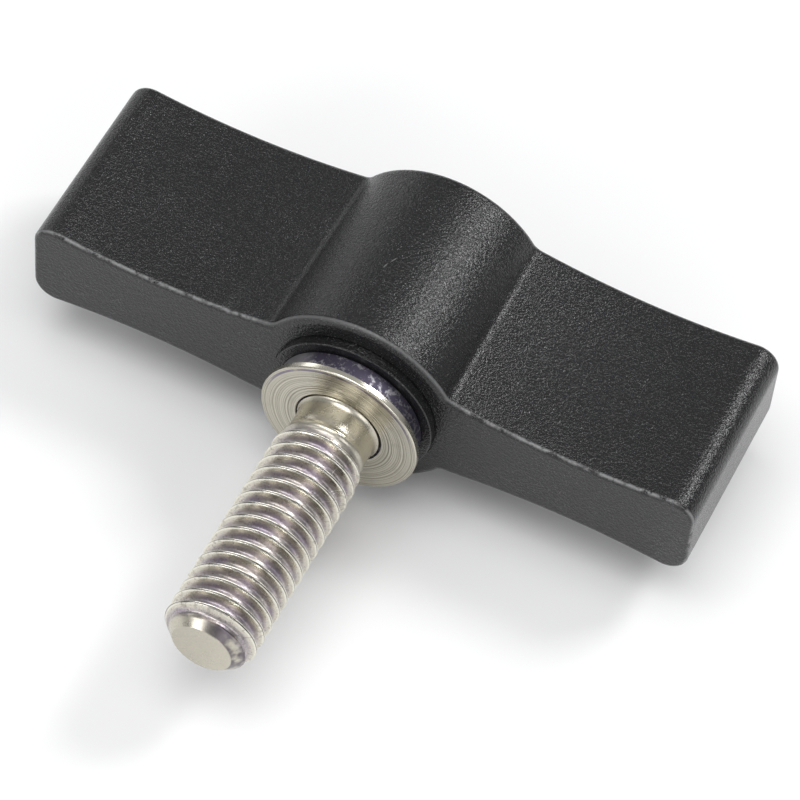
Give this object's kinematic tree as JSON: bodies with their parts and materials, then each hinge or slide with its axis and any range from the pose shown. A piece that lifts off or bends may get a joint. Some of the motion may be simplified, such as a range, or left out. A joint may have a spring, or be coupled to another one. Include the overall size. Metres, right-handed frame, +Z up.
{
  "type": "thumb screw",
  "caption": "Thumb screw with a moulded winged handle, a moulded-in threaded steel stud, a spacer ring and a captive washer.",
  "frame": {"origin": "on the screw's axis, in the plane of the washer's front face, which clamps the work", "axes": "+X along the wings, -Y along the screw towards its tip, +Z up, away from the surface it lies on"},
  "size_m": [0.0456, 0.0344, 0.014],
  "materials": {
    "handle_plastic": "spark-eroded grain, satin",
    "stud_steel": "rolled and nickel plated",
    "ring_steel": "plated, scuffed edge",
    "washer_steel": "turned face, nickel plated"
  },
  "bodies": {
    "root": {"wing_handle": "handle_plastic", "threaded_stud": "stud_steel", "spacer_ring": "ring_steel", "captive_washer": "washer_steel"}
  },
  "joints": []
}
